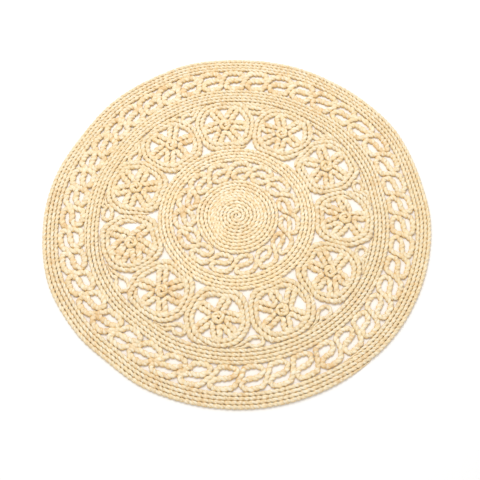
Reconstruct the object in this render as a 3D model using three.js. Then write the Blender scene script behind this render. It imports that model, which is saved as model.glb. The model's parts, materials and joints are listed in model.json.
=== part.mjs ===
// A round straw rug, made of one kind of twisted straw rope that is wound, bent and sewn edge to
// edge: a coiled disc in the middle, a ring of scrolls, a band of rounds, eleven wheels with a
// hairpin of rope between each two, a second band, a wider ring of scrolls and a last band.
// Millimetres. The rug lies flat in X and Y, with its underside at Z = 0 and its centre at the
// origin. Angles are in degrees, clockwise from +Y as seen from above.
import * as THREE from 'three';

// Rope and rounds
const ROPE_PITCH = 9.7; // from one round to the next
const THICKNESS = 10.4; // the rope's own diameter
const GAP = 0.3; // clear space between two pieces that touch
const DISC_ROUNDS = 11;
const BAND_ROUNDS = 4;

// Widths across the rug, from the middle outwards
const INNER_LACE_WIDTH = 58.9;
const WHEEL_HEIGHT = 152;
const OUTER_LACE_WIDTH = 66;

const DISC_RADIUS = DISC_ROUNDS * ROPE_PITCH;
const BAND_WIDTH = BAND_ROUNDS * ROPE_PITCH;
const INNER_BAND = DISC_RADIUS + INNER_LACE_WIDTH;
const WHEELS_FROM = INNER_BAND + BAND_WIDTH;
const MIDDLE_BAND = WHEELS_FROM + WHEEL_HEIGHT;
const OUTER_LACE = MIDDLE_BAND + BAND_WIDTH;
const OUTER_BAND = OUTER_LACE + OUTER_LACE_WIDTH;
const RUG_RADIUS = OUTER_BAND + BAND_WIDTH;

// The eleven wheels, and where the tips of their six petals point
const PETAL_TIPS = [
  [35, 97, 150, 208, 262, 329],
  [2, 66, 137, 197, 249, 300],
  [57, 130, 180, 231, 294, 354],
  [0, 90, 148, 218, 258, 310],
  [51, 131, 180, 229, 301, 349],
  [33, 115, 172, 230, 292, 343],
  [29, 98, 143, 190, 247, 317],
  [9, 73, 124, 183, 243, 303],
  [49, 119, 166, 214, 250, 312],
  [28, 90, 153, 207, 267, 331],
  [11, 73, 139, 189, 240, 309],
];
const WHEEL_COUNT = PETAL_TIPS.length;
const WHEEL_STEP = 360 / WHEEL_COUNT;
const WHEEL_CENTRE = WHEELS_FROM + WHEEL_HEIGHT / 2;
const WHEEL_TALL = (WHEEL_HEIGHT - GAP) / 2; // half its height, towards the rim of the rug
const WHEEL_WIDE = 79;
const RING_WIDTH = 22.4; // two rounds of a slightly thicker rope
const RING_SHOULDER = 5; // the corners of a petal hole are this much short of the ring
const PETAL_HALF = 13; // a petal is two strands wide
const HUB_EDGE = 28; // where the petals part from each other

// A wheel fills its place better than an oval does: near these angles from outwards, it reaches
// this much further, until its neighbours and the bands stop it
const FULLER = [
  { at: 40, amount: 8, spread: 11 },
  { at: 50, amount: 6, spread: 20 },
  { at: -50, amount: 6, spread: 20 },
  { at: 85, amount: 5.2, spread: 14 },
  { at: -85, amount: 5.2, spread: 14 },
  { at: 130, amount: 6.5, spread: 16 },
  { at: -130, amount: 6.5, spread: 16 },
  { at: 152, amount: 11, spread: 12 },
  { at: -152, amount: 11, spread: 12 },
];

// Two rings of scrolls. Each scroll has an outer and an inner hole: how far along the ring and out
// from its middle they lie, their half sizes, and how far they lean
const OUTER_SCROLLS = {
  count: 43,
  first: 7.25,
  holes: [
    { along: -1, out: 16, half_length: 19, half_height: 6.4, lean: 0.3, corners: 5 },
    { along: 0.5, out: -12, half_length: 17.5, half_height: 10, lean: 0.3, corners: 6 },
  ],
  drift: { amount: 1.8, at: 80 }, // the scrolls crowd and spread by these degrees
  slant: { amount: 3, at: 212, spread: 24 }, // near here the outer holes are ahead by these
};
const INNER_SCROLLS = {
  count: 15,
  first: 11,
  holes: [
    { along: 1, out: 13, half_length: 16, half_height: 6, lean: 0.45, corners: 6 },
    { along: -1, out: -11.5, half_length: 14.5, half_height: 7.6, lean: 0.45, corners: 6 },
  ],
  drift: { amount: 0, at: 0 },
  slant: { amount: 0, at: 0, spread: 1 },
};

// The hairpin of rope in each outer corner between two wheels, seen with the rim upwards:
// sideways from the corner's middle, and out from the rug's centre
const LOOP = {
  end_side: -4.5, end_out: 338, end_radius: 16.2, end_corners: [100, 140, 180, 220, 260],
  hole_radius: 5.5, hole_corners: [60, 130, 200, 270], hole_tip_side: 24, hole_tip_out: 341,
  band_sides: [57, 36, 14], wheel_corners: [-8, -7, -6, -5, -4],
};

// The rim is as uneven as hand work: it swells or draws in near some angles
const UNEVEN = [
  { at: 308, amount: -0.016, spread: 12 },
  { at: 258, amount: 0.011, spread: 18 },
  { at: 225, amount: -0.012, spread: 9 },
  { at: 351, amount: 0.011, spread: 10 },
  { at: 87, amount: -0.01, spread: 9 },
  { at: 62, amount: 0.006, spread: 12 },
];
const ROUND_WITHIN = 150; // the middle of the rug is round

// Each round edge that two pieces share, as a polygon of straight sides
const WHEEL_SIDES = 4 * WHEEL_COUNT;
const SEAT_SIDES = 6 * WHEEL_COUNT;
const EDGES = {
  disc: { radius: DISC_RADIUS, sides: 4 * WHEEL_COUNT },
  inner_band: { radius: INNER_BAND, sides: 4 * WHEEL_COUNT },
  wheels: { radius: WHEELS_FROM, sides: 4 * WHEEL_COUNT },
  // the corners of this one stand out a little, so that its sides clear the wheels
  middle_band: { radius: MIDDLE_BAND / Math.cos(Math.PI / SEAT_SIDES), sides: SEAT_SIDES },
  outer_lace: { radius: OUTER_LACE, sides: 2 * OUTER_SCROLLS.count },
  outer_band: { radius: OUTER_BAND, sides: 2 * OUTER_SCROLLS.count },
  rim: { radius: RUG_RADIUS, sides: 2 * OUTER_SCROLLS.count },
};

const STRAW = { color: 0xe9cf9a, roughness: 0.85, metalness: 0 };
const PALE_STRAW = { color: 0xf0dbab, roughness: 0.85, metalness: 0 };

const radians = THREE.MathUtils.degToRad;
const at = (angle, radius) => new THREE.Vector2(
  radius * Math.sin(radians(angle)), radius * Math.cos(radians(angle)));

// How strongly something that is centred on one angle shows at another
function near(angle, row) {
  const away = THREE.MathUtils.euclideanModulo(angle - row.at + 180, 360) - 180;
  return row.amount * Math.exp(-((away / row.spread) ** 2));
}

// The unevenness of the rim, which fades out towards the middle
function uneven(point) {
  const radius = point.length();
  const angle = THREE.MathUtils.radToDeg(Math.atan2(point.x, point.y));
  const share = THREE.MathUtils.smoothstep(radius, ROUND_WITHIN, RUG_RADIUS);
  const swell = UNEVEN.reduce((sum, row) => sum + near(angle, row), 0);
  return point.clone().multiplyScalar(1 + swell * share);
}

// A flat piece of the rope's thickness, from its outline and its holes
function plate(name, outline, holes, finish) {
  const edge = outline.map(uneven);
  const shape = new THREE.Shape(THREE.ShapeUtils.isClockWise(edge) ? edge.reverse() : edge);
  shape.holes = holes.map((hole) => new THREE.Path(hole.map(uneven)));
  const geometry = new THREE.ExtrudeGeometry(shape, { depth: THICKNESS, bevelEnabled: false });
  const mesh = new THREE.Mesh(geometry, new THREE.MeshStandardMaterial(finish));
  mesh.name = name;
  return mesh;
}

// One side of a shared edge: the piece within it stops half a gap short, the piece around it
// starts half a gap further out
const within = (edge) => polygon(edge.radius - GAP / 2, edge.sides);
const around = (edge) => polygon(edge.radius + GAP / 2, edge.sides);
const polygon = (radius, sides) => (
  Array.from({ length: sides }, (_, k) => at((k * 360) / sides, radius)));

const ring = (name, from, to) => plate(name, within(to), [around(from)], STRAW);

// One hole of a scroll: a round-ended slot that leans with the strands beside it
function scrollHole(hole, middle, angle) {
  return Array.from({ length: hole.corners }, (_, k) => {
    const turn = (2 * Math.PI * (k + 0.5)) / hole.corners;
    const up = hole.half_height * Math.sin(turn);
    const along = hole.along + hole.half_length * Math.cos(turn) + hole.lean * up;
    return at(angle + THREE.MathUtils.radToDeg(along / middle), middle + hole.out + up);
  });
}

function scrolls(name, from, to, lace) {
  const middle = (from.radius + to.radius) / 2;
  const holes = [];
  for (let k = 0; k < lace.count; k += 1) {
    const even = lace.first + (k * 360) / lace.count;
    const angle = even + lace.drift.amount * Math.cos(radians(2 * (even - lace.drift.at)));
    const [outer, inner] = lace.holes;
    holes.push(scrollHole(outer, middle, angle + near(angle, lace.slant)));
    holes.push(scrollHole(inner, middle, angle));
  }
  return plate(name, within(to), [around(from), ...holes], STRAW);
}

// How far a wheel's edge is from its middle, at an angle from outwards
function wheelReach(angle) {
  const turn = radians(angle);
  const oval = 1 / Math.hypot(Math.sin(turn) / WHEEL_WIDE, Math.cos(turn) / WHEEL_TALL);
  const full = FULLER.reduce((sum, row) => sum + near(angle, row), oval);
  const across = WHEEL_CENTRE * Math.cos(turn);
  const toRound = (radius) => radius ** 2 - WHEEL_CENTRE ** 2 + across ** 2;
  const outer = Math.sqrt(toRound(MIDDLE_BAND - GAP / 2)) - across;
  const inner = toRound(WHEELS_FROM + GAP);
  const inwards = across < 0 && inner > 0 ? -across - Math.sqrt(inner) : full;
  // the line half-way to the neighbour, which both stop half a gap short of
  const half_step = radians(WHEEL_STEP / 2);
  const away = Math.abs(THREE.MathUtils.euclideanModulo(angle + 180, 360) - 180);
  const slope = Math.cos(radians(away - 90) - half_step);
  const beside = (WHEEL_CENTRE * Math.sin(half_step) - GAP / 2) / Math.max(slope, GAP);
  return Math.min(full, outer, inwards, beside);
}

// A corner of a wheel's edge, moved outwards by extra, in the wheel's place on the rug
function wheelCorner(wheel_angle, corner, extra) {
  const angle = (360 * corner) / WHEEL_SIDES;
  const point = at(angle, wheelReach(angle) + extra).add(at(0, WHEEL_CENTRE));
  return point.rotateAround(new THREE.Vector2(), -radians(wheel_angle));
}

// The hole between two petals: narrow at the hub, wide along the ring
function petalHole(wheel_angle, from_tip, to_tip, from_base, to_base) {
  const centre = at(wheel_angle, WHEEL_CENTRE);
  const along = (angle, short) => (
    at(angle, wheelReach(angle - wheel_angle) - RING_WIDTH - short));
  const half = THREE.MathUtils.radToDeg(Math.asin(PETAL_HALF / (WHEEL_TALL - RING_WIDTH)));
  const from = from_tip + half;
  const to = to_tip - half;
  const quarter = (to - from) / 4;
  return [
    at((from_base + to_base) / 2, HUB_EDGE), along(from, RING_SHOULDER),
    along(from + quarter, 0), along(to - quarter, 0), along(to, RING_SHOULDER),
  ].map((point) => point.add(centre));
}

function wheel(index) {
  const angle = index * WHEEL_STEP;
  const outline = Array.from({ length: WHEEL_SIDES }, (_, k) => wheelCorner(angle, k, 0));
  const tips = PETAL_TIPS[index];
  const spacing = 360 / tips.length;
  const first = tips.reduce((sum, tip, k) => sum + tip - k * spacing, 0) / tips.length;
  const holes = tips.map((tip, k) => {
    const next = k + 1 < tips.length ? tips[k + 1] : tips[0] + 360;
    return petalHole(angle, tip, next, first + k * spacing, first + (k + 1) * spacing);
  });
  return plate(`wheel_${index + 1}`, outline, holes, STRAW);
}

// The hairpin between this wheel and the next: a round end on the left, and two strands that
// close on each other where the band meets the next wheel
function cornerLoop(index) {
  const mid = (index + 0.5) * WHEEL_STEP;
  const seat = MIDDLE_BAND - GAP;
  const arc = (radius, degrees) => degrees.map((degree) => new THREE.Vector2(
    LOOP.end_side + radius * Math.cos(radians(degree)),
    LOOP.end_out + radius * Math.sin(radians(degree))));
  const along_band = LOOP.band_sides.map((side) => (
    new THREE.Vector2(side, Math.sqrt(seat ** 2 - side ** 2))));
  const along_wheel = LOOP.wheel_corners.map((corner) => (
    wheelCorner(WHEEL_STEP / 2, corner, GAP)));
  const outline = [...along_band, ...arc(LOOP.end_radius, LOOP.end_corners), ...along_wheel];
  const hole = [...arc(LOOP.hole_radius, LOOP.hole_corners),
    new THREE.Vector2(LOOP.hole_tip_side, LOOP.hole_tip_out)];
  const place = (point) => point.rotateAround(new THREE.Vector2(), -radians(mid));
  return plate(`corner_loop_${index + 1}`, outline.map(place), [hole.map(place)], STRAW);
}

const rug = new THREE.Group();
rug.add(plate('centre_disc', within(EDGES.disc), [], PALE_STRAW));
rug.add(scrolls('inner_scrolls', EDGES.disc, EDGES.inner_band, INNER_SCROLLS));
rug.add(ring('inner_band', EDGES.inner_band, EDGES.wheels));
for (let k = 0; k < WHEEL_COUNT; k += 1) {
  rug.add(wheel(k));
  rug.add(cornerLoop(k));
}
rug.add(ring('middle_band', EDGES.middle_band, EDGES.outer_lace));
rug.add(scrolls('outer_scrolls', EDGES.outer_lace, EDGES.outer_band, OUTER_SCROLLS));
rug.add(ring('outer_band', EDGES.outer_band, EDGES.rim));

export default rug;
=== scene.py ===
# %% [markdown]
# # A round straw rug
# The rug is one long job of winding, bending and sewing a twisted straw rope. Everything that is
# seen on it is that rope, so the lesson makes the rope once, as a small machine of geometry nodes,
# and then spends its time on the lines that the rope follows: coils, scrolls, wheels and loops.
# Blender works in metres here. The lines are drawn in millimetres, seen from above, with angles
# clockwise from the first wheel, and the flat CAD pieces say which part of the rug is where.

# %% Load the frame
import json
import math

import bpy
import numpy as np
from mathutils import Matrix

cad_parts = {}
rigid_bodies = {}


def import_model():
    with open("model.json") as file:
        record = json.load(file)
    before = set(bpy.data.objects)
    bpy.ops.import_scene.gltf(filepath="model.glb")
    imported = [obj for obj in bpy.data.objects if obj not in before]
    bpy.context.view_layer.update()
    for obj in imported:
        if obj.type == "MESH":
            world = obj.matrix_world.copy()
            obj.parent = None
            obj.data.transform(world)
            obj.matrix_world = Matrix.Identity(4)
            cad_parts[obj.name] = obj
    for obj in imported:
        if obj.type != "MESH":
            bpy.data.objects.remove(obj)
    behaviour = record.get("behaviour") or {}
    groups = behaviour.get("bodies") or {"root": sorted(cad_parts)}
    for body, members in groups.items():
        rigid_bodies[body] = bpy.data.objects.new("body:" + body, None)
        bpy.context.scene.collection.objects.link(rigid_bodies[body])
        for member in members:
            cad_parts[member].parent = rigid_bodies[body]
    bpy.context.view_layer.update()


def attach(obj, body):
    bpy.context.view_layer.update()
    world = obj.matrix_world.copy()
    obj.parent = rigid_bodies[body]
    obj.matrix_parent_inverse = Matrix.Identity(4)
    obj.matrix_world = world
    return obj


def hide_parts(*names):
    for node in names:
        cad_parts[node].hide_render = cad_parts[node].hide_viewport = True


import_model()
dice = np.random.default_rng(11)
MM = 0.001

# %% [markdown]
# ## Camera, floor and light
# The rug lies on a pale floor and is looked at from standing height, at 65 degrees above the floor.
# The first wheel is a little off the camera's axis, so the whole view is turned about the upright
# through the rug's middle, and the camera is tipped sideways by a degree and a half. The light is
# that of a bright, soft studio: a white world, one broad lamp above, and hardly any shadow. Under
# the
# rug the floor is a little warmer: painted warm bounce light from the straw.

# %% Camera
VIEW_TURN = math.radians(-5.53)
VIEW_RISE = math.radians(65.31)
VIEW_FAR = 1.912
AIM = (0.0061, -0.0696)
ROPE_TOPS = 0.0075  # the camera was set by the tops of the ropes, not by the floor
ROLL = math.radians(-1.5)
LENS, SENSOR = 56.18, 36  # millimetres
NEAREST = 0.01


def place_camera():
    data = bpy.data.cameras.new("camera")
    data.lens = LENS
    data.sensor_width = SENSOR
    data.clip_start = NEAREST
    camera = bpy.data.objects.new("camera", data)
    bpy.context.scene.collection.objects.link(camera)
    turn = Matrix.Rotation(VIEW_TURN, 4, "Z")
    back = VIEW_FAR * math.cos(VIEW_RISE)
    height = VIEW_FAR * math.sin(VIEW_RISE) + ROPE_TOPS
    stand = Matrix.Translation((AIM[0], AIM[1] - back, height))
    tip = Matrix.Rotation(math.pi / 2 - VIEW_RISE, 4, "X") @ Matrix.Rotation(ROLL, 4, "Z")
    camera.matrix_world = turn @ stand @ tip
    bpy.context.scene.camera = camera
    return camera


camera = place_camera()
print("camera at", [round(v, 3) for v in camera.matrix_world.translation])


# %% Floor and light
FLOOR_SIZE = 12
# under the rug the floor is warmer: painted warm bounce light from the straw
BOUNCE_UNDER_RUG = (0.485, (0.885, 0.852, 0.81, 1))  # metres from the middle, and the colour there
BARE = (0.505, (0.85, 0.848, 0.845, 1))
FLOOR_ROUGH, FLOOR_GLOSS = 0.9, 0.1
WORLD_LIGHT = 0.86
LAMP_SIZE, LAMP_WATTS = 1.4, 40
LAMP_PLACE, LAMP_TURN = (-0.3, 0.9, 2.6), (-19, -7, 0)  # metres, degrees


def place_floor():
    bpy.ops.object.select_all(action="DESELECT")
    bpy.ops.mesh.primitive_plane_add(size=FLOOR_SIZE, location=(0, 0, 0))
    floor = bpy.context.object
    floor.name = "floor"
    material = bpy.data.materials.new("floor_white")
    material.use_nodes = True
    shader = material.node_tree.nodes["Principled BSDF"]
    shader.inputs["Roughness"].default_value = FLOOR_ROUGH
    shader.inputs["Specular IOR Level"].default_value = FLOOR_GLOSS
    nodes, links = material.node_tree.nodes, material.node_tree.links
    where = nodes.new("ShaderNodeTexCoord")
    from_middle = nodes.new("ShaderNodeVectorMath")
    from_middle.operation = "LENGTH"
    links.new(where.outputs["Object"], from_middle.inputs[0])
    # the warm colour under the rug is painted bounce light
    pale = nodes.new("ShaderNodeValToRGB")
    for stop, (metres, colour) in zip(pale.color_ramp.elements, (BOUNCE_UNDER_RUG, BARE)):
        stop.position, stop.color = metres, colour
    links.new(from_middle.outputs["Value"], pale.inputs["Fac"])
    links.new(pale.outputs["Color"], shader.inputs["Base Color"])
    floor.data.materials.append(material)


def place_light():
    world = bpy.data.worlds.new("studio")
    world.use_nodes = True
    back = world.node_tree.nodes["Background"]
    back.inputs["Color"].default_value = (1, 1, 1, 1)
    back.inputs["Strength"].default_value = WORLD_LIGHT
    bpy.context.scene.world = world
    lamp = bpy.data.lights.new("softbox", "AREA")
    lamp.shape = "DISK"
    lamp.size = LAMP_SIZE
    lamp.energy = LAMP_WATTS
    box = bpy.data.objects.new("softbox", lamp)
    box.location = LAMP_PLACE
    box.rotation_euler = [math.radians(turn) for turn in LAMP_TURN]
    bpy.context.scene.collection.objects.link(box)
    bpy.context.scene.view_settings.view_transform = "Standard"


place_floor()
place_light()

# %% [markdown]
# ## Writing nodes as sums
# Both the rope and its straw finish are node trees. A small class wraps a socket, so that a formula
# can be written as one, and `Tree.add` makes every other node.


# %% Sockets and trees
class Socket:
    def __init__(self, tree, out):
        self.tree, self.out = tree, out

    def math(self, operation, *others, first=None):
        values = [self, *others] if first is None else [first, self]
        kind = {"operation": operation}
        return self.tree.add("ShaderNodeMath", kind, dict(enumerate(values)))

    def __add__(self, other):
        return self.math("ADD", other)

    def __sub__(self, other):
        return self.math("SUBTRACT", other)

    def __rsub__(self, other):
        return self.math("SUBTRACT", first=other)

    def __mul__(self, other):
        return self.math("MULTIPLY", other)

    def __truediv__(self, other):
        return self.math("DIVIDE", other)

    __radd__ = __add__
    __rmul__ = __mul__

    def ramp(self, low, high):
        """0 at low, 1 at high, and smooth in between."""
        kind = {"interpolation_type": "SMOOTHSTEP"}
        return self.tree.add("ShaderNodeMapRange", kind, {0: self, 1: low, 2: high})


class Tree:
    def __init__(self, nodes):
        self.nodes = nodes

    def add(self, kind, settings=None, sockets=None, out=0):
        node = self.nodes.nodes.new(kind)
        for key, value in (settings or {}).items():
            setattr(node, key, value)
        for key, value in (sockets or {}).items():
            if isinstance(value, Socket):
                self.nodes.links.new(value.out, node.inputs[key])
            else:
                node.inputs[key].default_value = value
        return Socket(self, node.outputs[out])

    def mix(self, share, one, other):
        """Colour one where share is 0, and the other where it is 1."""
        kind = {"data_type": "RGBA"}
        return self.add("ShaderNodeMix", kind, {0: share, 6: one, 7: other}, out=2)

    def noise(self, place, scale, detail=2.0, rough=0.5):
        sockets = {"Vector": place, "Scale": scale, "Detail": detail, "Roughness": rough}
        return self.add("ShaderNodeTexNoise", {}, sockets)


# %% [markdown]
# ## The finish: dry straw
# Close up, a ply of straw rope is a bundle of thin flat strips that run round it at a slant. Some
# strips are paler and some nearly brown, and the crease where the two plies meet is darkened with
# painted shade. The pattern has to run with the rope, so the twisting machine leaves attributes on
# the mesh: `along`, how far along the rope a point is, `section`, where it is on the rope's turning
# section, `lift`, how far up the rope's flank it is, and `batch`, one number for each strand. The
# lower flanks of the ropes are painted brown as shade, and most parts are mixed with a darker
# colour all over. The disc and the band round it are palest.

# %% Straw colours and sizes
PALE = (0.91, 0.80, 0.58, 1)
CREAM = (0.945, 0.868, 0.71, 1)
GOLD = (0.88, 0.71, 0.42, 1)
BROWN = (0.62, 0.40, 0.18, 1)
TAN = (0.76, 0.49, 0.22, 1)
# painted shade in the crease between the two plies
CREASE_SHADE = (0.48, 0.25, 0.05, 1)
# painted brown shade on the lower flanks of the ropes
FLANK_SHADE = (0.86, 0.57, 0.20, 1)
# a darker colour, mixed all over the straw of most parts
DARK_TONE = (0.64, 0.55, 0.38, 1)
STRIP_SLANT = -170.0  # radians a metre, against the twist of the plies
STRIP_ROUND = 5.2  # about the rope's radius, in millimetres
STRIP_STRETCH = 45.0  # a metre along; at 1000 the strips would be no longer than they are wide
FINE, FINE_DETAIL, FINE_ROUGH = 1.5, 3.0, 0.65  # how close the strips lie, and how ragged
BROAD = 0.55  # how close groups of strips lie
PLY_EDGE = 0.3  # how far round the section one ply fades into the other
PLY_STEP, FEED_STEP = 9, 26  # how fast the colour changes from ply to ply, and a metre along
AGE, TANNED, BEAD = 1.0, 2.3, 5.5  # how often, along a ply, it changes for each reason
ZONES, PATCHES = 14.0, 3.0  # spots across the rug
APART = (31, 17, 40)  # keeps the strands' patterns apart
SPOTS = {  # the values of its pattern at which a colour begins and is full
    "gold ply": (0.35, 0.68), "brown strip": (0.52, 0.74), "cream strip": (0.3, 0.5),
    "tan zone": (0.45, 0.62), "tan ply": (0.42, 0.6), "tan bulge": (0.5, 0.68),
    "cream bulge": (0.34, 0.5), "gold patch": (0.46, 0.7)}
COVER = {  # and how much it covers there
    "brown strip": 0.45, "cream strip": 0.5, "tan bulge": 0.5, "cream bulge": 0.55,
    "gold patch": 0.3, "crease_shade": 0.22}
CREASE_SHADE_REACH = (0.05, 0.35)  # how far round the section, from its waist
FLANK_SHADE_REACH = (1.0, 1.7)  # how far up, in heights of the rope's middle
ROUGH_LEAST, ROUGH_MORE = 0.6, 0.25
RELIEF_FINE, RELIEF_BROAD = 0.6, 0.8
BUMP_STRENGTH, BUMP_HEIGHT = 0.6, 0.0006
STRAW_GLOSS = 0.25


# %% Straw material
def straw(name, tan, flank_shade, dark_tone):
    """The shares of tanned straw, of painted brown shade on the flanks, and of a darker colour all
    over.
    """
    material = bpy.data.materials.new(name)
    material.use_nodes = True
    tree = Tree(material.node_tree)
    shader = material.node_tree.nodes["Principled BSDF"]
    along = tree.add("ShaderNodeAttribute", {"attribute_name": "along"}, out="Fac")
    section = tree.add("ShaderNodeAttribute", {"attribute_name": "section"}, out="Vector")
    batch = tree.add("ShaderNodeAttribute", {"attribute_name": "batch"}, out="Fac")
    lift = tree.add("ShaderNodeAttribute", {"attribute_name": "lift"}, out="Fac")
    where = tree.add("ShaderNodeTexCoord", out="Object")
    x = tree.add("ShaderNodeSeparateXYZ", sockets={0: section})

    # strips: a tube of the rope's own size, drawn out along the rope
    slanted = tree.add(
        "ShaderNodeVectorRotate", {"rotation_type": "Z_AXIS"},
        {"Vector": section, "Angle": along * STRIP_SLANT})
    tube = tree.add(
        "ShaderNodeVectorMath", {"operation": "SCALE"}, {0: slanted, "Scale": STRIP_ROUND})
    shift = tree.add("ShaderNodeCombineXYZ", sockets={2: along * STRIP_STRETCH + batch * APART[2]})
    strips = tree.add("ShaderNodeVectorMath", {"operation": "ADD"}, {0: tube, 1: shift})
    fine = tree.noise(strips, FINE, FINE_DETAIL, FINE_ROUGH)
    broad = tree.noise(strips, BROAD)

    # colour: each ply changes every few centimetres, as new straw is fed into the twist
    side = x.ramp(-PLY_EDGE, PLY_EDGE)
    feed = tree.add(
        "ShaderNodeCombineXYZ", sockets={
            0: side * PLY_STEP + batch * APART[0], 1: along * FEED_STEP, 2: batch * APART[1]})
    age = tree.noise(feed, AGE)
    colour = tree.mix(age.ramp(*SPOTS["gold ply"]), PALE, GOLD)
    brown = fine.ramp(*SPOTS["brown strip"]) * COVER["brown strip"]
    colour = tree.mix(brown, colour, BROWN)
    cream = (1 - broad.ramp(*SPOTS["cream strip"])) * COVER["cream strip"]
    colour = tree.mix(cream, colour, CREAM)
    zone = tree.noise(where, ZONES, 1.0).ramp(*SPOTS["tan zone"])
    tanned = tree.noise(feed, TANNED).ramp(*SPOTS["tan ply"]) * zone * tan
    colour = tree.mix(tanned, colour, TAN)
    # and from one bulge of a ply to the next, and slowly across the rug
    bead = tree.noise(feed, BEAD, 1.0)
    tanned = bead.ramp(*SPOTS["tan bulge"]) * COVER["tan bulge"]
    colour = tree.mix(tanned, colour, TAN)
    cream = (1 - bead.ramp(*SPOTS["cream bulge"])) * COVER["cream bulge"]
    colour = tree.mix(cream, colour, CREAM)
    patches = tree.noise(where, PATCHES, 1.0)
    gold = patches.ramp(*SPOTS["gold patch"]) * COVER["gold patch"]
    colour = tree.mix(gold, colour, GOLD)
    colour = tree.mix(dark_tone, colour, DARK_TONE)
    # last, painted shade: the crease at the waist of the section, and the lower flanks
    crease_shade = 1 - x.math("ABSOLUTE").ramp(*CREASE_SHADE_REACH)
    colour = tree.mix(crease_shade * COVER["crease_shade"], colour, CREASE_SHADE)
    colour = tree.mix((1 - lift.ramp(*FLANK_SHADE_REACH)) * flank_shade, colour, FLANK_SHADE)
    links = material.node_tree.links
    links.new(colour.out, shader.inputs["Base Color"])
    links.new((fine * ROUGH_MORE + ROUGH_LEAST).out, shader.inputs["Roughness"])

    # the strips stand up a little from each other
    height = fine * RELIEF_FINE + broad * RELIEF_BROAD
    bump = {"Strength": BUMP_STRENGTH, "Distance": BUMP_HEIGHT, "Height": height}
    links.new(tree.add("ShaderNodeBump", sockets=bump).out, shader.inputs["Normal"])
    shader.inputs["Specular IOR Level"].default_value = STRAW_GLOSS
    return material


pale_straw = straw("straw_pale", tan=0.3, flank_shade=0.36, dark_tone=0.0)
darker_straw = straw("straw_darker", tan=0.45, flank_shade=0.7, dark_tone=0.18)
tanned_straw = straw("straw_tanned", tan=0.95, flank_shade=0.85, dark_tone=0.15)
print("materials", pale_straw.name, darker_straw.name, tanned_straw.name)

# %% [markdown]
# ## The rope
# Two plies of straw are twisted round each other, so a cut through the rope looks like a figure of
# eight with a shallow waist, and that figure turns as it goes along. A curve that carries a profile
# would do it, if its tilt grew with its length. Geometry nodes can say just that: even out the
# points, set the tilt from the length, sweep the profile, and remember where each point came from.

# %% Rope sizes and its section
ROPE = 11.0  # across both plies
PITCH = 9.7  # from one round to the next
PLY_RADIUS = 3.95
PLY_OUT = ROPE / 2 - PLY_RADIUS
FULL_TURN = 27.5  # the length in which a ply comes round once
STEPS_IN_TURN = 9
SECTION_POINTS = 16


def rope_section():
    """The figure of eight, as a closed curve of points."""
    curve = bpy.data.curves.new("rope_section", "CURVE")
    line = curve.splines.new("POLY")
    line.points.add(SECTION_POINTS - 1)
    for k, point in enumerate(line.points):
        turn = 360 * k / SECTION_POINTS
        c, s = math.cos(math.radians(turn)), math.sin(math.radians(turn))
        reach = PLY_OUT * abs(c) + math.sqrt(PLY_RADIUS ** 2 - (PLY_OUT * s) ** 2)
        point.co = (reach * c * MM, reach * s * MM, 0, 1)
    line.use_cyclic_u = True
    thing = bpy.data.objects.new("rope_section", curve)
    bpy.context.scene.collection.objects.link(thing)
    return thing


section_curve = rope_section()


# %% The twisting machine
UNEVEN_TWIST, TWIST_WAVES = 3.5, 45  # radians, and how many a metre
UNEVEN_THICK, THICK_WAVES = 0.32, 90  # a share of the thickness, and how many a metre
STRAND_STEP = 60  # keeps the strands' unevenness apart
ENDS = 0.02  # the part of a strand, at each end, that is twisted evenly
FAR_OUT = 10.0  # metres, beyond anything on the rug


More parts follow.
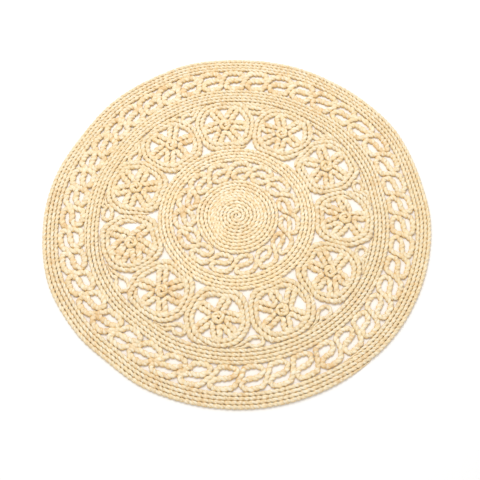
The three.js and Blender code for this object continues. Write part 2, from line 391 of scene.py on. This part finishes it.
def twisting_machine():
    nodes = bpy.data.node_groups.new("twist_rope", "GeometryNodeTree")
    for name, kind in (("Line", "Geometry"), ("Low", "Float"), ("Phase", "Float"),
                       ("Batch", "Float"), ("Straw", "Material")):
        nodes.interface.new_socket(name, in_out="INPUT", socket_type="NodeSocket" + kind)
    nodes.interface.new_socket("Rope", in_out="OUTPUT", socket_type="NodeSocketGeometry")
    tree = Tree(nodes)
    given = nodes.nodes.new("NodeGroupInput")
    line, low, phase, batch, finish = (Socket(tree, out) for out in given.outputs[:5])

    def keep(geometry, name, value, kind="FLOAT"):
        return tree.add(
            "GeometryNodeStoreNamedAttribute", {"data_type": kind, "domain": "POINT"},
            {"Geometry": geometry, "Name": name, "Value": value})

    even = {"Curve": line, "Length": FULL_TURN * MM / STEPS_IN_TURN}
    line = tree.add("GeometryNodeResampleCurve", {"mode": "LENGTH"}, even)
    along = tree.add("GeometryNodeSplineParameter", out="Length")
    part = tree.add("GeometryNodeSplineParameter", out="Factor")
    whole = tree.add("GeometryNodeSplineLength", out="Length")
    turns = (whole / (FULL_TURN * MM)).math("ROUND")
    # a hand does not twist evenly either, but both ends of a strand stay as they are
    hand = tree.add(
        "ShaderNodeCombineXYZ", sockets={0: along * TWIST_WAVES, 1: batch * STRAND_STEP})
    inside = part.ramp(0.0, ENDS) * (1 - part.ramp(1 - ENDS, 1.0))
    uneven_twist = (tree.noise(hand, 1.0, 1.0) - 0.5) * inside * UNEVEN_TWIST
    tilt = part * turns * (2 * math.pi) + phase + uneven_twist
    line = tree.add("GeometryNodeSetCurveNormal", {"mode": "Z_UP"}, {"Curve": line})
    line = tree.add("GeometryNodeSetCurveTilt", sockets={"Curve": line, "Tilt": tilt})
    line = keep(line, "along", along)
    place = tree.add("GeometryNodeInputPosition")
    up = tree.add("ShaderNodeSeparateXYZ", sockets={0: place}, out="Z")
    line = keep(line, "middle", up)
    # straw is never fed in quite evenly, so the rope swells and thins a little
    feed = tree.add(
        "ShaderNodeCombineXYZ", sockets={0: along * THICK_WAVES, 1: batch * STRAND_STEP})
    swell = tree.noise(feed, 1.0, 1.0) * UNEVEN_THICK + (1 - UNEVEN_THICK / 2)
    thick = tree.add("GeometryNodeInputRadius") * swell
    eight = tree.add("GeometryNodeObjectInfo", sockets={"Object": section_curve}, out="Geometry")
    unit = tree.add("ShaderNodeVectorMath", {"operation": "NORMALIZE"}, {0: place})
    eight = keep(eight, "section", unit, "FLOAT_VECTOR")
    swept = {"Curve": line, "Profile Curve": eight, "Scale": thick, "Fill Caps": True}
    rope = tree.add("GeometryNodeCurveToMesh", sockets=swept)
    rope = keep(rope, "batch", batch)
    middle = tree.add("GeometryNodeInputNamedAttribute", {"data_type": "FLOAT"}, {"Name": "middle"})
    rope = keep(rope, "lift", up / middle)
    # feet press the thicker ropes down, and the floor presses every rope flat underneath
    pressed = tree.add("ShaderNodeCombineXYZ", sockets={0: 1.0, 1: 1.0, 2: low})
    place = tree.add("ShaderNodeVectorMath", {"operation": "MULTIPLY"}, {0: place, 1: pressed})
    on_floor = {0: place, 1: (-FAR_OUT, -FAR_OUT, 0.0)}  # only the height is held back
    place = tree.add("ShaderNodeVectorMath", {"operation": "MAXIMUM"}, on_floor)
    rope = tree.add("GeometryNodeSetPosition", sockets={"Geometry": rope, "Position": place})
    rope = tree.add("GeometryNodeSetMaterial", sockets={"Geometry": rope, "Material": finish})
    rope = tree.add("GeometryNodeSetShadeSmooth", sockets={"Geometry": rope})
    leave = nodes.nodes.new("NodeGroupOutput")
    nodes.links.new(rope.out, leave.inputs[0])
    return nodes


machine = twisting_machine()
inputs = {s.name: s.identifier for s in machine.interface.items_tree if s.in_out == "INPUT"}
print("machine", machine.name, "with", len(machine.nodes), "nodes")

# %% [markdown]
# ## Hand work is uneven
# The rim swells and draws in near some angles, and a slow wave of a millimetre or so goes through
# the whole rug, so that neighbours stay side by side. Both are done to every line at the end.

# %% Places, and how uneven they are
def polar(angle, radius):
    turn = np.radians(angle)
    return np.stack([radius * np.sin(turn), radius * np.cos(turn)], axis=-1)


UNEVEN = (  # angle, share of the radius, spread in degrees
    (308, -0.016, 12), (258, 0.011, 18), (225, -0.012, 9),
    (351, 0.011, 10), (87, -0.01, 9), (62, 0.006, 12))
ROUND_WITHIN, RIM = 150, 500  # none of it inside the first radius, and all at the second
WAVES = ((2.3, 1.1, 0.4), (-1.7, 2.9, 2.0), (5.1, -3.7, 4.4))  # waves a metre, and a start
WAVE_HEIGHT = 0.8


def near(angle, at, amount, spread):
    away = (angle - at + 180) % 360 - 180
    return amount * np.exp(-((away / spread) ** 2))


def uneven(points):
    radius = np.hypot(points[:, 0], points[:, 1])
    angle = np.degrees(np.arctan2(points[:, 0], points[:, 1]))
    t = np.clip((radius - ROUND_WITHIN) / (RIM - ROUND_WITHIN), 0, 1)
    share = t * t * (3 - 2 * t)
    moved = points * (1 + share * sum(near(angle, *row) for row in UNEVEN))[:, None]
    for k, (across, up, start) in enumerate(WAVES):
        turn = (points[:, 0] * across + points[:, 1] * up) * 2 * math.pi * MM + start
        moved[:, k % 2] += WAVE_HEIGHT * np.sin(turn)
    return moved


# %% A smooth line through a few points
def smooth(points, closed, steps=7):
    """A smooth line through the points, as a hand would draw it."""
    p = np.asarray(points, float)
    before, after = (p[-1:], p[:2]) if closed else (2 * p[:1] - p[1:2], 2 * p[-1:] - p[-2:-1])
    q = np.vstack([before, p, after])
    gap = np.sqrt(np.linalg.norm(np.diff(q[:, :2], axis=0), axis=1))
    line = []
    for i in range(len(q) - 3):
        a, b, c, d = q[i:i + 4]
        tb, tc = gap[i], gap[i] + gap[i + 1]
        td = tc + gap[i + 2]
        t = np.linspace(tb, tc, steps, endpoint=False)[:, None]
        ab, bc = a + (b - a) * t / tb, b + (c - b) * (t - tb) / (tc - tb)
        cd = c + (d - c) * (t - tc) / (td - tc)
        abc, bcd = ab + (bc - ab) * t / tc, bc + (cd - bc) * (t - tb) / (td - tb)
        line.append(abc + (bcd - abc) * (t - tb) / (tc - tb))
    if not closed:
        line.append(p[-1:])
    return np.vstack(line)


# %% [markdown]
# ## From a line to a piece
# `strand` draws one line as a curve and runs it through the machine. `piece` joins the strands that
# belong together, names them after the flat CAD piece they stand for and hides that piece, and
# works out how much work it is when it lies flat: the rope's length times its width.

# %% Strands
PRESSED = 10.8  # a thicker rope is pressed down to this height
SUNK = 0.43  # how high a rope's middle lies, as a share of its width
SPREAD = 1.03  # by itself a rope lies this much wider
THIN = 0.3  # a thinned end lies no lower than this share


def strand(line, closed, finish, wide=ROPE, thick=None, rise=0.0):
    """One rope along a line, this wide and lifted by rise. thick is its share at each point."""
    flat = uneven(np.asarray(line, float)[:, :2])
    thick = np.ones(len(flat)) if thick is None else np.asarray(thick)
    height = wide * SUNK * np.maximum(thick, THIN) + rise
    curve = bpy.data.curves.new("strand", "CURVE")
    curve.dimensions = "3D"
    spline = curve.splines.new("POLY")
    spline.points.add(len(flat) - 1)
    spline.points.foreach_set(
        "co", np.column_stack([flat * MM, height * MM, np.ones(len(flat))]).ravel())
    spline.points.foreach_set("radius", thick * wide / ROPE)
    spline.use_cyclic_u = closed
    thing = bpy.data.objects.new("strand", curve)
    bpy.context.scene.collection.objects.link(thing)
    twist = thing.modifiers.new("twist", "NODES")
    twist.node_group = machine
    twist[inputs["Low"]] = min(1.0, PRESSED / wide)
    twist[inputs["Phase"]] = dice.uniform(0, 2 * math.pi)
    twist[inputs["Batch"]] = dice.uniform(0, 10)
    twist[inputs["Straw"]] = finish
    loop = np.vstack([flat, flat[:1]]) if closed else flat
    length = float(np.linalg.norm(np.diff(loop, axis=0), axis=1).sum()) * MM
    return thing, length, length * wide * SPREAD * MM


# %% Pieces
def piece(node, flat, strands):
    bpy.ops.object.select_all(action="DESELECT")
    for thing, _, _ in strands:
        thing.select_set(True)
    bpy.context.view_layer.objects.active = strands[0][0]
    bpy.ops.object.convert(target="MESH")
    if len(strands) > 1:
        bpy.ops.object.join()
    rope = bpy.context.object
    rope.name = rope.data.name = "rope_" + node
    length, area = (sum(row[k] for row in strands) for k in (1, 2))
    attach(rope, "root")
    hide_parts(node)
    print(rope.name, "rope", round(length, 2), "m,", len(rope.data.polygons), "faces")


# %% [markdown]
# ## Coils: the middle and the three bands
# The middle is eleven rounds of rope and each band is four. Sewn rope climbs from one round to the
# next: in the middle all the way round, as in a snail's shell, and further out within a hand's
# width, because there it would look crooked. Where a band starts and ends, the rope is thinned out,
# so that both its edges stay round.

# %% One coil
SNAIL_FROM = -0.45  # a snail's rope begins in its very middle, part of a turn early
SNAIL_FADES = 4  # rounds
THINNEST = 0.25  # where the rope is cut off


def ease(x):
    x = np.clip(x, 0, 1)
    return x * x * (3 - 2 * x)


def coil(rounds, climb, snail=0, per_turn=180):
    """Turn, rounds out from the inner edge, and thickness, along a coil of rope.

    climb is the part of a turn in which it moves out by one round, and snail the number of inner
    rounds that climb all the way."""
    t = np.arange(SNAIL_FROM if snail else -climb, rounds, 1 / per_turn)
    in_turn = t - np.floor(t)
    step = ease((in_turn - 1 + climb) / climb)
    if snail:
        share = ease((t - snail) / SNAIL_FADES + 0.5)
        step = in_turn * (1 - share) + step * share
    out = np.floor(t) + step + 0.5
    thick = np.ones(len(t))
    if not snail:
        head = t < 0
        thick[head] = step[head]
        out[head] = step[head] / 2
    tail = t > rounds - climb
    thick[tail] = 1 - ease((t[tail] - rounds + climb) / climb)
    out[tail] = rounds - thick[tail] / 2
    kept = thick > THINNEST
    return t[kept], out[kept], thick[kept]


def band(node, from_radius, rounds, finish, seam, climb, snail=0):
    """A coil from this radius on. seam is the angle at which it steps out to the next round."""
    t, out, thick = coil(rounds, climb, snail)
    line = polar(seam - 360 * t, from_radius + PITCH * out)
    rope = strand(line, closed=False, finish=finish, thick=thick)
    width = rounds * ROPE * MM
    flat = (width * SPREAD, rope[1] / rounds) if from_radius else (2 * width, 2 * width)
    piece(node, flat, [rope])


# %% From the middle to the rim
DISC_ROUNDS, BAND_ROUNDS = 11, 4
INNER_LACE_WIDE, WHEEL_RING_WIDE, OUTER_LACE_WIDE = 58.9, 152, 66
INNER_LACE = DISC_ROUNDS * PITCH
INNER_BAND = INNER_LACE + INNER_LACE_WIDE
WHEELS_FROM = INNER_BAND + BAND_ROUNDS * PITCH
MIDDLE_BAND = WHEELS_FROM + WHEEL_RING_WIDE
OUTER_LACE = MIDDLE_BAND + BAND_ROUNDS * PITCH
OUTER_BAND = OUTER_LACE + OUTER_LACE_WIDE
band("centre_disc", 0, DISC_ROUNDS, pale_straw, seam=205, climb=0.12, snail=6)
band("inner_band", INNER_BAND, BAND_ROUNDS, pale_straw, seam=20, climb=0.12)
band("middle_band", MIDDLE_BAND, BAND_ROUNDS, darker_straw, seam=250, climb=0.08)
band("outer_band", OUTER_BAND, BAND_ROUNDS, darker_straw, seam=140, climb=0.06)

# %% [markdown]
# ## Scrolls
# Between the coils runs lace: one rope that swings out and in again, round and round, until it
# meets its own start. One swing is a row of points, some pitches along and some millimetres out
# from the lace's middle, and the whole lace is that row repeated and smoothed. By hand no two
# swings are alike, so each point is off by a little, and the outer lace crowds and slants in
# places. The rope is fuller on one side of the rug than on the other.

# %% Lace
INNER_ROPE, OUTER_ROPE = 15.3, 16.4
INNER_COUNT, INNER_MIDDLE, INNER_FIRST = 15, 136.15, 11  # how many, at what radius, from what angle
OUTER_COUNT, OUTER_MIDDLE, OUTER_FIRST = 43, 427.3, 7.25
OUTER_SWING = (
    (-0.33, 23.2), (-0.08, 26.8), (0.22, 26.4), (0.38, 18.6), (0.32, 7.4), (0.12, 2.2),
    (-0.10, 1.2), (-0.29, -4.5), (-0.39, -14.0), (-0.31, -23.0), (-0.12, -26.8), (0.13, -26.8),
    (0.32, -23.0), (0.40, -13.0), (0.455, 0.0), (0.545, 12.5))
INNER_SWING = (
    (-0.34, 18.5), (-0.12, 23.4), (0.16, 23.2), (0.37, 16.0), (0.30, 5.5), (0.08, 1.0),
    (-0.12, 0.0), (-0.32, -6.0), (-0.40, -14.5), (-0.28, -22.0), (-0.06, -23.2), (0.18, -21.0),
    (0.34, -11.5), (0.43, -1.0), (0.555, 9.5))
CROWDING = (1.8, 80)  # degrees, and where it is most
SLANT = (212, 3, 24)  # where, degrees at the outer side, spread
SLANT_REACH = 14  # slanted from this far inside the lace's middle to this far outside it
BY_HAND = 0.5  # millimetres
FULL_SIDE, FULLER_THERE = 332, 0.11  # the rope swells by this share near this angle


def lace(swing, count, middle, first, crowding=(0, 0), slant=(0, 0, 1)):
    points = []
    for k in range(count):
        for along, out in swing:
            angle = first + (k + along) * 360 / count
            angle += crowding[0] * math.cos(math.radians(2 * (angle - crowding[1])))
            outer_share = (out + SLANT_REACH) / (2 * SLANT_REACH)
            angle += near(angle, *slant) * min(max(outer_share, 0), 1)
            points.append(polar(angle, middle + out) + dice.normal(0, BY_HAND, 2))
    return smooth(points, closed=True)


def scrolls(node, from_radius, wide, line, rope_wide):
    around = np.arctan2(line[:, 0], line[:, 1]) - math.radians(FULL_SIDE)
    rope = strand(line, True, tanned_straw, rope_wide, 1 + FULLER_THERE * np.cos(around))
    piece(node, (wide * MM, 2 * math.pi * (from_radius + wide / 2) * MM), [rope])


swings = lace(INNER_SWING, INNER_COUNT, INNER_MIDDLE, INNER_FIRST)
scrolls("inner_scrolls", INNER_LACE, INNER_LACE_WIDE, swings, INNER_ROPE)
swings = lace(OUTER_SWING, OUTER_COUNT, OUTER_MIDDLE, OUTER_FIRST, CROWDING, SLANT)
scrolls("outer_scrolls", OUTER_LACE, OUTER_LACE_WIDE, swings, OUTER_ROPE)

# %% [markdown]
# ## Wheels
# Each of the eleven wheels is a ring of two rounds with a flower in it. The flower is one more rope
# that runs out and back six times, so that each petal is two strands lying side by side, and a
# small coil fills its middle. The petals point wherever the hand put them. A wheel is an oval that
# is pressed against its neighbours and both bands, and fuller where nothing presses it.

# %% A wheel's outline and its flower
PETAL_TIPS = (  # degrees
    (35, 97, 150, 208, 262, 329), (2, 66, 137, 197, 249, 300), (57, 130, 180, 231, 294, 354),
    (0, 90, 148, 218, 258, 310), (51, 131, 180, 229, 301, 349), (33, 115, 172, 230, 292, 343),
    (29, 98, 143, 190, 247, 317), (9, 73, 124, 183, 243, 303), (49, 119, 166, 214, 250, 312),
    (28, 90, 153, 207, 267, 331), (11, 73, 139, 189, 240, 309))
WHEEL_CENTRE = WHEELS_FROM + WHEEL_RING_WIDE / 2
WHEEL_STEP = 360 / len(PETAL_TIPS)
WHEEL_WIDE, WHEEL_TALL = 79.0, 75.85  # half of each
FULLER = (  # degrees from outwards, millimetres, spread
    (40, 7.0, 11), (50, 6.0, 20), (-50, 6.0, 20), (85, 5.2, 14), (-85, 5.2, 14),
    (130, 6.5, 16), (-130, 6.5, 16), (152, 11.0, 12), (-152, 11.0, 12))
RING_ROPE, RING_PITCH = 12.9, 11.2
RING_SWELL = 0.025  # how much its rope swells for each millimetre of bulge
ROUNDED = (-8, -4, 0, 4, 8)  # a stiff rope cuts its corners over these degrees
PETAL_ROPES = (17.2, 17.2, 16.3, 16.4, 16.8, 15.9, 16.2, 16.5, 18.0, 18.3, 17.0)
PETAL_FOOT, PETAL_TURN = 0.92, 0.8  # how thick it is at a petal's foot, and inside
PETAL_SHOULDER = 0.4  # from here on, as a share of its length, a petal is as thick as it gets
HUB_TURN = 21.0  # how far from the wheel's middle the rope turns from petal to petal
PETAL_FROM, PETAL_INTO_RING = 25, 7.5
NIP = 0.6  # both strands of a petal are sewn this much into each other
PETAL_BY_HAND = 0.3


def to_band(angle):
    """How far it is from a wheel's middle to the band outside it."""
    across = WHEEL_CENTRE * np.cos(np.radians(angle))
    return np.sqrt(across ** 2 + MIDDLE_BAND ** 2 - WHEEL_CENTRE ** 2) - across


def oval(angle):
    turn = np.radians(angle)
    return 1 / np.hypot(np.sin(turn) / WHEEL_WIDE, np.cos(turn) / WHEEL_TALL)


def wheel_edge(angle):
    """How far the wheel reaches, at an angle from outwards: a round that all round it press."""
    turn = np.radians(angle)
    reach = oval(angle) + sum(near(angle, *row) for row in FULLER)
    away = np.abs((angle + 180) % 360 - 180) - 90 - WHEEL_STEP / 2
    neighbour = WHEEL_WIDE / np.cos(np.radians(np.clip(away, -60, 60)))
    across = WHEEL_CENTRE * np.cos(turn)
    under = across ** 2 - WHEEL_CENTRE ** 2 + WHEELS_FROM ** 2
    inwards = np.where(under > 0, -across - np.sqrt(np.maximum(under, 0)), WHEEL_CENTRE)
    inwards = np.where(across < 0, inwards, WHEEL_CENTRE)
    return np.minimum.reduce([reach, neighbour, inwards, to_band(angle)])


def flower(tips, angle, wide):
    """One closed line round six petals, from the wheel's middle, with the rope's thickness."""
    pitch = 360 / len(tips)
    base = sum(tip - k * pitch for k, tip in enumerate(tips)) / len(tips)
    points = []

    def add(place, thick=1.0):
        points.append((*(place + dice.normal(0, PETAL_BY_HAND, 2)), thick))

    half = wide / 2 - NIP
    rows = ((0.0, PETAL_FOOT), (PETAL_SHOULDER, 1.0))
    for k, tip in enumerate(tips):
        foot = base + k * pitch
        add(polar(foot - pitch / 2, HUB_TURN), PETAL_TURN)
        ring_inside = wheel_edge(tip - angle) - 2 * RING_PITCH
        reach = ring_inside + PETAL_INTO_RING - half
        inner, outer = polar(foot, PETAL_FROM), polar(tip, reach - half)
        out = (outer - inner) / np.linalg.norm(outer - inner)
        side = np.array([out[1], -out[0]])
        for share, thick in rows:
            add(inner + (outer - inner) * share - side * half * thick, thick)
        for turn in range(-90, 91, 45):
            c, s = math.cos(math.radians(turn)), math.sin(math.radians(turn))
            add(outer + half * (s * side + c * out))
        for share, thick in reversed(rows):
            add(inner + (outer - inner) * share + side * half * thick, thick)
    return smooth(points, closed=True, steps=5)


# %% Wheels
turns = np.arange(360)
WHEEL_BOX = tuple(float(v) for v in np.ptp(polar(turns, wheel_edge(turns)), axis=0) * MM)
RING_ROUNDS, RING_CLIMB = 2, 0.14
HUB_ROPE, HUB_OUT, HUB_RISE = 11.4, 12.3, 3.4
HUB_FROM, HUB_TO, HUB_THINS = -0.42, 1.62, 1.35  # turns
HUB_END, HUB_END_OUT = 0.7, 2  # how much thinner its end is, and how far that moves out
HUB_TIGHT, HUB_STEPS = 0.9, 40  # its pitch as a share of its rope, and points in a turn


def hub():
    """A short coil, from the wheel's middle, with the rope's thickness."""
    t = np.arange(HUB_FROM, HUB_TO, 1 / HUB_STEPS)
    thick = 1 - HUB_END * ease((t - HUB_THINS) / (HUB_TO - HUB_THINS))
    out = np.minimum(HUB_ROPE * (t + 0.5) * HUB_TIGHT, HUB_OUT) + (1 - thick) * HUB_END_OUT
    return polar(dice.uniform(0, 360) - 360 * t, out), thick


def wheel(index, tips):
    angle = index * WHEEL_STEP
    centre = polar(angle, WHEEL_CENTRE)
    t, out, thick = coil(RING_ROUNDS, RING_CLIMB, per_turn=72)
    around = dice.uniform(0, 360) - 360 * t
    edge = np.mean([wheel_edge(around - angle + off) for off in ROUNDED], axis=0)
    swell = 1 + RING_SWELL * np.maximum(edge - oval(around - angle), 0)
    ring = polar(around, edge - RING_PITCH * swell * (RING_ROUNDS - out))
    petals = flower(tips, angle, PETAL_ROPES[index])
    middle, fine = hub()
    strands = [
        strand(centre + ring, False, darker_straw, RING_ROPE, thick * swell),
        strand(centre + petals[:, :2], True, tanned_straw, PETAL_ROPES[index], petals[:, 2]),
        strand(centre + middle, False, darker_straw, HUB_ROPE, fine, HUB_RISE)]
    piece(f"wheel_{index + 1}", WHEEL_BOX, strands)


for index, tips in enumerate(PETAL_TIPS):
    wheel(index, tips)

# %% [markdown]
# ## Corner loops
# In each outer corner between two wheels the rope makes a hairpin: it comes along the band, turns
# round, and goes back along the next wheel. Band and wheel squeeze both its ends thin. Where a
# hairpin was sewn too low to reach the band, another bit of rope fills the room between them.

# %% Loops
LOOPS = (  # the hole's middle sideways and outwards, half its length and height, and the rope
    (-8, 331, 17, 0.5, 15), (-3, 326, 11, 3, 13), (2, 332, 12, 6, 11.5), (6, 333, 12, 7, 11),
    (6.5, 340.5, 14.5, 7.5, 10.6), (-2, 341, 16, 6, 11), (-3, 336, 12, 5, 12.4),
    (-8, 341, 18, 8, 10.6), (4, 336.5, 15, 5.5, 11.6), (-3, 330, 14, 5, 12.6),
    (-3.5, 330, 12, 4.5, 13))
SQUEEZED = (-50, -43, -36, -29)  # degrees from outwards, at the next wheel
BY_WHEEL, BY_BAND = 0.25, 0.75  # where its two ends lie, from the next wheel to the band
FILL_FROM, FILL_MOST = 5, 13  # millimetres of room between hairpin and band
FILL_TIGHT = 2  # the filling rope is this much wider than its room
OVER_HOLE = 0.9  # how far a hairpin reaches past its hole, as a share of its rope
LOOP_FLAT = (0.125, 0.05)  # metres
FILL = (  # millimetres sideways, thickness
    (58, 0.3), (44, 0.7), (28, 1), (0, 1), (-22, 1), (-36, 0.7), (-48, 0.3))


def squeezed(angle, share, wide):
    """A point at this share of the way from the next wheel to the band, seen from the corner.

    With it goes the rope's thickness there, which is half of that room."""
    edge = wheel_edge(angle)
    room = to_band(angle) - edge
    x, y = polar(angle, edge + share * room) + (0, WHEEL_CENTRE)
    step = math.radians(WHEEL_STEP / 2)
    turned = x * math.cos(step) + y * math.sin(step), y * math.cos(step) - x * math.sin(step)
    return (*turned, min(1, room / 2 / wide))


def hairpin(side, out, half_length, half_height, wide):
    turn = half_height + wide / 2
    right, left = side + half_length, side - half_length + half_height
    points = [squeezed(angle, BY_BAND, wide) for angle in reversed(SQUEEZED)]
    points += [(right, out + wide / 2, 1), (side + half_length / 4, out + turn, 1)]
    for angle in range(90, 271, 36):
        c, s = math.cos(math.radians(angle)), math.sin(math.radians(angle))
        points.append((left + turn * c, out + turn * s, 1))
    points += [(side + half_length / 4, out - turn, 1), (right, out - wide / 2, 1)]
    return points + [squeezed(angle, BY_WHEEL, wide) for angle in SQUEEZED]


def corner_loop(index, side, out, half_length, half_height, wide):
    mid = math.radians((index + 0.5) * WHEEL_STEP)

    def laid(points, wide):
        x, y, thick = smooth(points, closed=False, steps=6).T
        placed = np.column_stack([x * math.cos(mid) + y * math.sin(mid),
                                  y * math.cos(mid) - x * math.sin(mid)])
        return strand(placed, False, darker_straw, wide, np.clip(thick, THINNEST, 1))

    strands = [laid(hairpin(side, out, half_length, half_height, wide), wide)]
    room = MIDDLE_BAND - out - half_height - wide * OVER_HOLE
    if room > FILL_FROM:
        fill = min(room + FILL_TIGHT, FILL_MOST)
        strands.append(laid(
            [(x, math.sqrt((MIDDLE_BAND - fill / 2 * thick) ** 2 - x * x), thick)
             for x, thick in FILL], fill))
    piece(f"corner_loop_{index + 1}", LOOP_FLAT, strands)


for index, row in enumerate(LOOPS):
    corner_loop(index, *row)

# %% [markdown]
# ## Close the job
# The section curve was only a tool, so it goes.

# %% Tidy up and measure
bpy.data.objects.remove(section_curve)
faces = sum(len(o.data.polygons) for o in bpy.data.objects if o.name.startswith("rope_"))
print("faces in all", faces)
